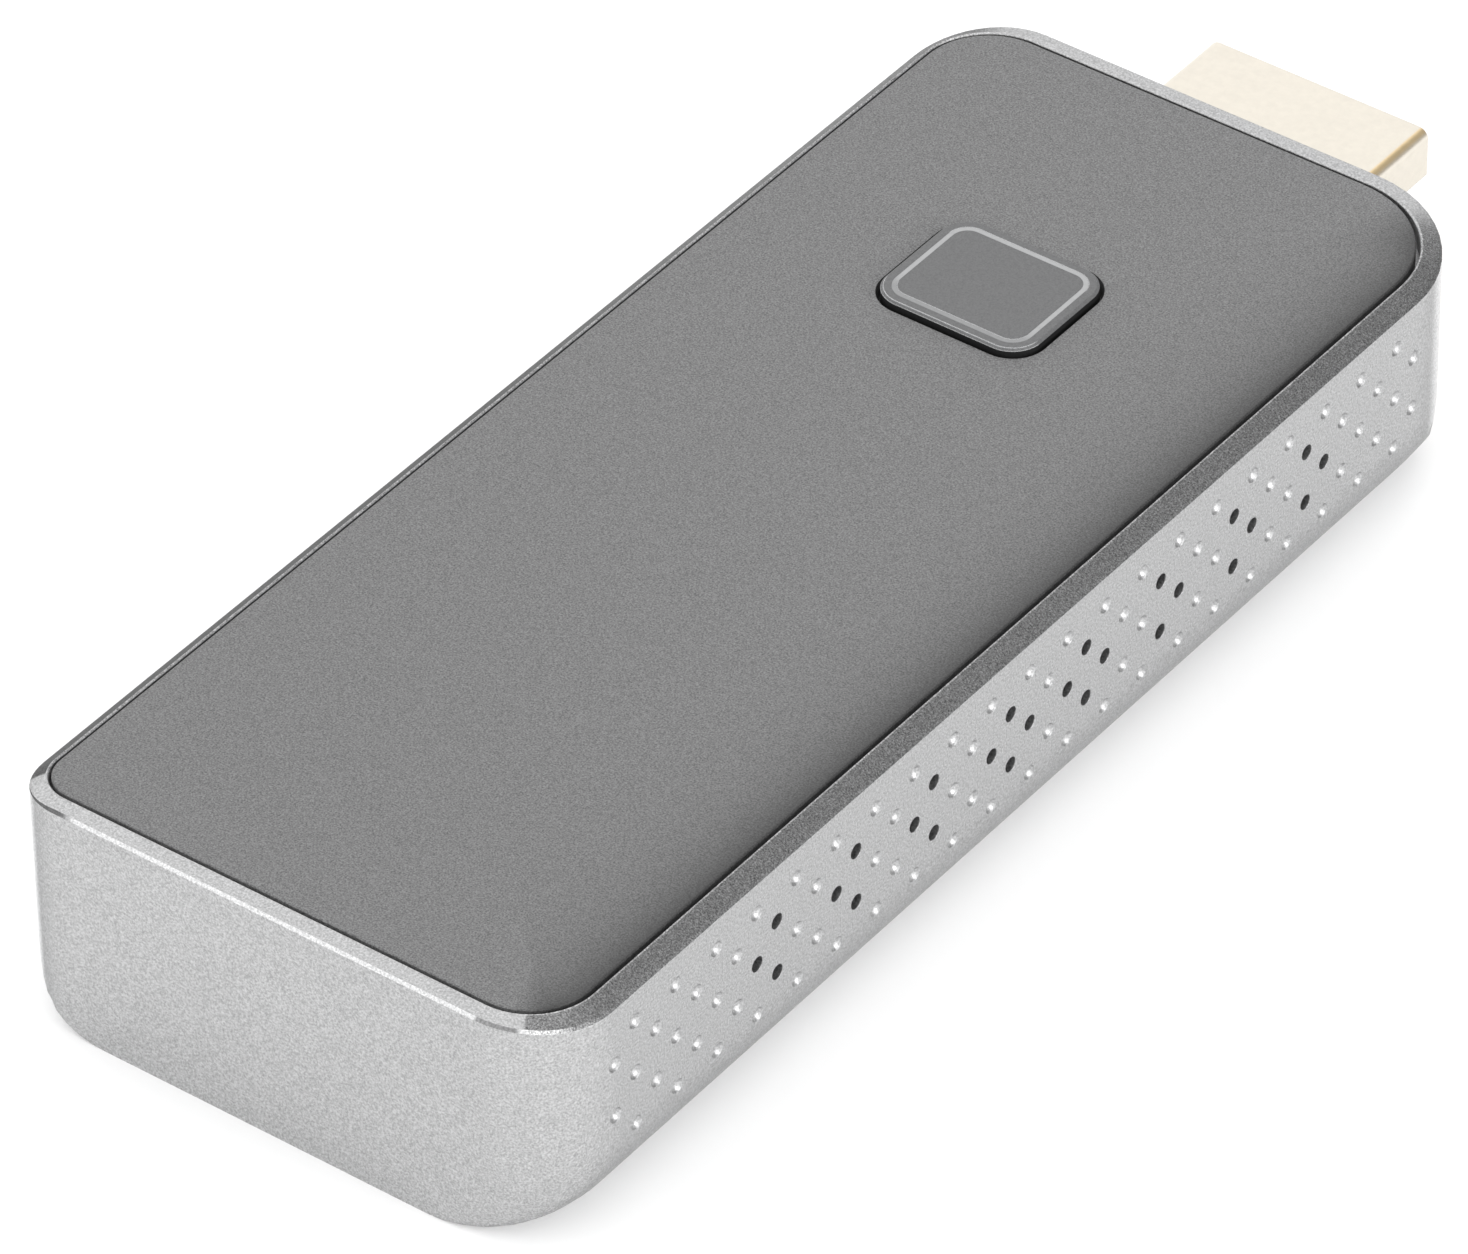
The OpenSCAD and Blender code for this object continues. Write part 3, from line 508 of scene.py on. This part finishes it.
def speckle_slopes(material, slope):
    """Coarser, stronger speckle on the rim's two grey slopes."""
    tree = material.node_tree
    grit = tree.nodes.new("ShaderNodeTexNoise")
    place = tree.nodes.new("ShaderNodeTexCoord")
    grit.inputs["Scale"].default_value = 1 / SLOPE_GRAIN
    tree.links.new(place.outputs["Object"], grit.inputs["Vector"])
    rough = reckon(tree, "SUBTRACT", grit.outputs["Fac"], 0.5)
    share = reckon(tree, "MULTIPLY", rough, reckon(tree, "MULTIPLY", slope, SLOPE_CONTRAST))
    tint(material, reckon(tree, "ADD", share, 1.0))


def paint_corner_reflections(material):
    """Painted reflection pales the walls round one plain-end corner and the plug-end one
    across.
    """
    tree = material.node_tree
    geometry = tree.nodes.new("ShaderNodeNewGeometry")
    facing = part_xyz(tree, geometry.outputs["Normal"])
    rise = reckon(tree, "ABSOLUTE", facing["Z"])
    upright = reckon(tree, "LESS_THAN", rise, WALL_MOST_RISE)
    turned = reckon(tree, "ADD", reckon(tree, "MULTIPLY", facing["X"], CORNER_REFLECTION_HEADING[0]),
                    reckon(tree, "MULTIPLY", facing["Y"], CORNER_REFLECTION_HEADING[1]))
    turned = reckon(tree, "ABSOLUTE", turned)
    pale = between(tree, turned, CORNER_REFLECTION_FROM, CORNER_REFLECTION_FULL, 1.0, CORNER_REFLECTION_MOST)
    tint(material, between(tree, upright, 0.0, 1.0, 1.0, pale))


speckle_slopes(housing_finish, shade_rim(housing_finish))
paint_corner_reflections(housing_finish)
smooth_copy("housing_shell", "silver_housing", "housing", housing_finish)

# Main board. Green solder resist over a copper ground, cut to the inside of
# the housing and held down on four bosses by small steel screws.
board_finish = finish("solder_resist", (0.02, 0.16, 0.08), 0.35, grain=0.6 * MM,
                      contrast=0.15, depth=0.02 * MM)
screw_finish = finish("zinc", (0.6, 0.6, 0.62), 0.35, metallic=1.0, grain=0.3 * MM)
dress(board_finish, "main_board")
dress(screw_finish, "board_screws")

# Display plug. A folded steel sleeve under pale gold plating, round a black
# moulded block with nineteen gold pins, and two small filters behind it.
PLUG_GOLD = (0.72, 0.675, 0.595)
# Painted reflection along the sleeve's rounded upper edge on the vented side only.
PLUG_FOLD_REFLECTION = (1.2, 1.0, 0.68)
FOLD_FROM = 0.1
FOLD_FULL = 0.35
FOLD_FADES = 0.6
FOLD_ENDS = 0.95
plug_finish = finish("pale_gold", PLUG_GOLD, 0.3, metallic=1.0, grain=0.5 * MM,
                     contrast=0.03, depth=0.004 * MM, edge=0.06 * MM)


def paint_fold_reflection(material):
    """Painted reflection: a deeper gold along the sleeve's rounded upper edge on the vented
    side.
    """
    tree = material.node_tree
    geometry = tree.nodes.new("ShaderNodeNewGeometry")
    facing = part_xyz(tree, geometry.outputs["Normal"])
    begun = between(tree, facing["X"], FOLD_FROM, FOLD_FULL, 0.0, 1.0)
    ended = between(tree, facing["X"], FOLD_FADES, FOLD_ENDS, 1.0, 0.0)
    share = reckon(tree, "MULTIPLY", begun, ended)
    base = tree.nodes["Principled BSDF"].inputs["Base Color"]
    mix = tree.nodes.new("ShaderNodeMixRGB")
    mix.blend_type = "MULTIPLY"
    mix.inputs["Color2"].default_value = (*PLUG_FOLD_REFLECTION, 1)
    tree.links.new(base.links[0].from_socket, mix.inputs["Color1"])
    tree.links.new(share, mix.inputs["Fac"])
    tree.links.new(mix.outputs["Color"], base)


paint_fold_reflection(plug_finish)
smooth_copy("plug_shell", "plug_sleeve", "housing", plug_finish)
moulding_finish = finish("black_moulding", (0.03, 0.03, 0.032), 0.45, grain=0.25 * MM)
pin_finish = finish("gold_flash", (0.86, 0.68, 0.3), 0.25, metallic=1.0, grain=0.3 * MM,
                    contrast=0.06)
resin_finish = finish("chip_resin", (0.025, 0.025, 0.028), 0.6, grain=0.15 * MM,
                      contrast=0.25, depth=0.015 * MM)
dress(moulding_finish, "plug_insulator")
dress(pin_finish, "plug_pins_upper", "plug_pins_lower")
dress(resin_finish, "plug_filters")

# Power socket. A drawn steel can, nickel plated, in the hidden long wall, with
# a black tongue that carries twelve gold pads on each face.
nickel_finish = finish("nickel", (0.66, 0.67, 0.69), 0.3, metallic=1.0, grain=0.4 * MM,
                       contrast=0.05)
dress(nickel_finish, "socket_shell")
dress(moulding_finish, "socket_tongue")
dress(pin_finish, "socket_pads")

# Computing parts. A processor under a soft blue pad and a black anodised
# aluminium heat sink, and the memory on the underside of the board.
pad_finish = finish("silicone_pad", (0.35, 0.45, 0.6), 0.8, grain=0.3 * MM, contrast=0.12)
sink_finish = finish("black_anodised", (0.04, 0.04, 0.045), 0.45, metallic=0.6,
                     grain=0.2 * MM, contrast=0.2)
dress(resin_finish, "processor", "memory_chips", "flash_chip")
dress(pad_finish, "processor_pad")
dress(sink_finish, "heat_sink")

# Radio. A small blue board under a tin can, and two thin black leads that run
# to film aerials stuck on the plain end wall.
radio_finish = finish("blue_resist", (0.02, 0.08, 0.2), 0.35, grain=0.5 * MM, contrast=0.15)
can_finish = finish("tin_can", (0.7, 0.7, 0.72), 0.35, metallic=1.0, grain=0.6 * MM,
                    contrast=0.08)
tin_finish = finish("bright_tin", (0.72, 0.73, 0.75), 0.3, metallic=1.0, grain=0.3 * MM,
                    contrast=0.08)
lead_finish = finish("lead_jacket", (0.03, 0.03, 0.03), 0.5, grain=0.4 * MM)
film_finish = finish("amber_film", (0.45, 0.25, 0.05), 0.3, grain=0.8 * MM, contrast=0.2)
dress(radio_finish, "wifi_board")
dress(can_finish, "wifi_shield", "crystal")
dress(pin_finish, "aerial_jacks")
dress(tin_finish, "aerial_plugs")
dress(lead_finish, "aerial_leads")
dress(film_finish, "aerials")

# Power parts. A converter chip, two pressed ferrite inductors and rows of tiny
# ceramic capacitors and resistors.
ferrite_finish = finish("ferrite", (0.16, 0.16, 0.17), 0.7, grain=0.25 * MM, contrast=0.3,
                        depth=0.03 * MM)
ceramic_finish = finish("ceramic", (0.45, 0.33, 0.2), 0.5, grain=0.3 * MM, contrast=0.12)
dress(resin_finish, "power_chip", "resistors")
dress(ferrite_finish, "inductors")
dress(ceramic_finish, "capacitors")

# Button. A dark grey cap with a polished bevel slides in a guide under the
# plate and presses a small switch, and a milky ring in its face is lit from
# two lamps on the board.
CAP_GREY = (0.116, 0.117, 0.119)
# Painted shade on the cap's sides, and painted highlight lines on its bevel, brightest
# towards the plain end.
CAP_WALL_SHADE = 0.12
CAP_WALL_MOST_RISE = 0.3
CAP_HIGHLIGHT_MOST = 5.0
CAP_LINE_RADIUS = 0.08 * MM
CAP_LINE_FROM = 0.0005
CAP_LINE_FULL = 0.006
CAP_LINE_LEAN = -0.12
RING_DULL = 0.7
RING_DULL_FOR = 0.5 * MM
RING_DULL_ENDS = 1.6 * MM
cap_finish = finish("cap_grey", CAP_GREY, 0.4, grain=0.09 * MM, contrast=0.2,
                    depth=0.004 * MM, edge=0.06 * MM)


def shade_cap(material):
    """Painted shade darkens the cap's sides, and painted highlights draw two thin lines on
    its bevel.
    """
    tree = material.node_tree
    geometry = tree.nodes.new("ShaderNodeNewGeometry")
    facing = part_xyz(tree, geometry.outputs["Normal"])
    rise = reckon(tree, "ABSOLUTE", facing["Z"])
    wall = reckon(tree, "LESS_THAN", rise, CAP_WALL_MOST_RISE)
    rounded = tree.nodes.new("ShaderNodeBevel")
    rounded.inputs["Radius"].default_value = CAP_LINE_RADIUS
    alike = tree.nodes.new("ShaderNodeVectorMath")
    alike.operation = "DOT_PRODUCT"
    tree.links.new(rounded.outputs["Normal"], alike.inputs[0])
    tree.links.new(geometry.outputs["True Normal"], alike.inputs[1])
    bend = reckon(tree, "SUBTRACT", 1.0, alike.outputs["Value"])
    leaning = part_xyz(tree, rounded.outputs["Normal"])
    most = between(tree, leaning["Y"], CAP_LINE_LEAN, 0.0, CAP_HIGHLIGHT_MOST, 1.0)
    line = between(tree, bend, CAP_LINE_FROM, CAP_LINE_FULL, 1.0, most)
    tint(material, between(tree, wall, 0.0, 1.0, line, CAP_WALL_SHADE))


shade_cap(cap_finish)
ring_finish = finish("milky_ring", (0.36, 0.363, 0.367), 0.3, grain=0.3 * MM, contrast=0.05,
                     depth=0.004 * MM)


def dull_ring(material):
    """The ring's colour is darker along its side nearest the plain end."""
    tree = material.node_tree
    place = tree.nodes.new("ShaderNodeTexCoord")
    at = part_xyz(tree, place.outputs["Object"])
    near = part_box("button_light_ring")[0][1]
    tint(material, between(tree, at["Y"], near + RING_DULL_FOR, near + RING_DULL_ENDS,
                           RING_DULL, 1.0))


dull_ring(ring_finish)
lamp_finish = finish("lamp_resin", (0.9, 0.88, 0.7), 0.2, grain=0.4 * MM, contrast=0.05)
plunger_finish = finish("red_moulding", (0.5, 0.06, 0.04), 0.4, grain=0.3 * MM)
smooth_copy("button_cap", "cap", "button", cap_finish)
smooth_copy("button_light_ring", "lit_ring", "button", ring_finish)
dress(moulding_finish, "button_guide", "switch_body")
dress(plunger_finish, "switch_plunger")
dress(tin_finish, "switch_legs")
dress(lamp_finish, "button_leds")

# Top plate. A flat plate in dark grey lacquer with a fine matt speckle, glued
# by a thin black tape to the ledge inside the rim.
PLATE_GREY = (0.148, 0.148, 0.149)
# Painted shade beside the vented side: its depth, reach and where round the outline it
# shows, with less on the plate's side faces.
PLATE_SHADE = 0.8
PLATE_SHADE_REACH = 1.9 * MM
PLATE_SHADE_FROM = 0.3
PLATE_SHADE_FULL = 0.85
PLATE_TOP_RISE = 0.5
PLATE_SIDE_SHADE = 0.55
plate_finish = finish("speckled_grey", PLATE_GREY, 0.45, grain=0.09 * MM, contrast=0.55,
                      depth=0.005 * MM, edge=0.04 * MM)


def shade_plate(material):
    """Painted shade: the plate darkens over its last few millimetres beside the vented
    side.
    """
    tree = material.node_tree
    edge = place_by_outline(tree, plate_middle, plate_half[0], plate_half[1],
                            RIM_WIDTH + PLATE_GAP)
    depth = reckon(tree, "DIVIDE", edge["Distance"], PLATE_SHADE_REACH)
    near = reckon(tree, "EXPONENT", reckon(tree, "MINIMUM", depth, 0.0))
    geometry = tree.nodes.new("ShaderNodeNewGeometry")
    facing = part_xyz(tree, geometry.outputs["Normal"])
    upper = reckon(tree, "GREATER_THAN", facing["Z"], PLATE_TOP_RISE)
    most = between(tree, upper, 0.0, 1.0, PLATE_SIDE_SHADE, PLATE_SHADE)
    side = between(tree, edge["Heading X"], PLATE_SHADE_FROM, PLATE_SHADE_FULL, 0.0, most)
    tint(material, reckon(tree, "SUBTRACT", 1.0, reckon(tree, "MULTIPLY", near, side)))


shade_plate(plate_finish)
tape_finish = finish("glue_tape", (0.03, 0.03, 0.03), 0.9, grain=0.3 * MM)
smooth_copy("top_plate", "glued_plate", "housing", plate_finish)
dress(tape_finish, "plate_tape")
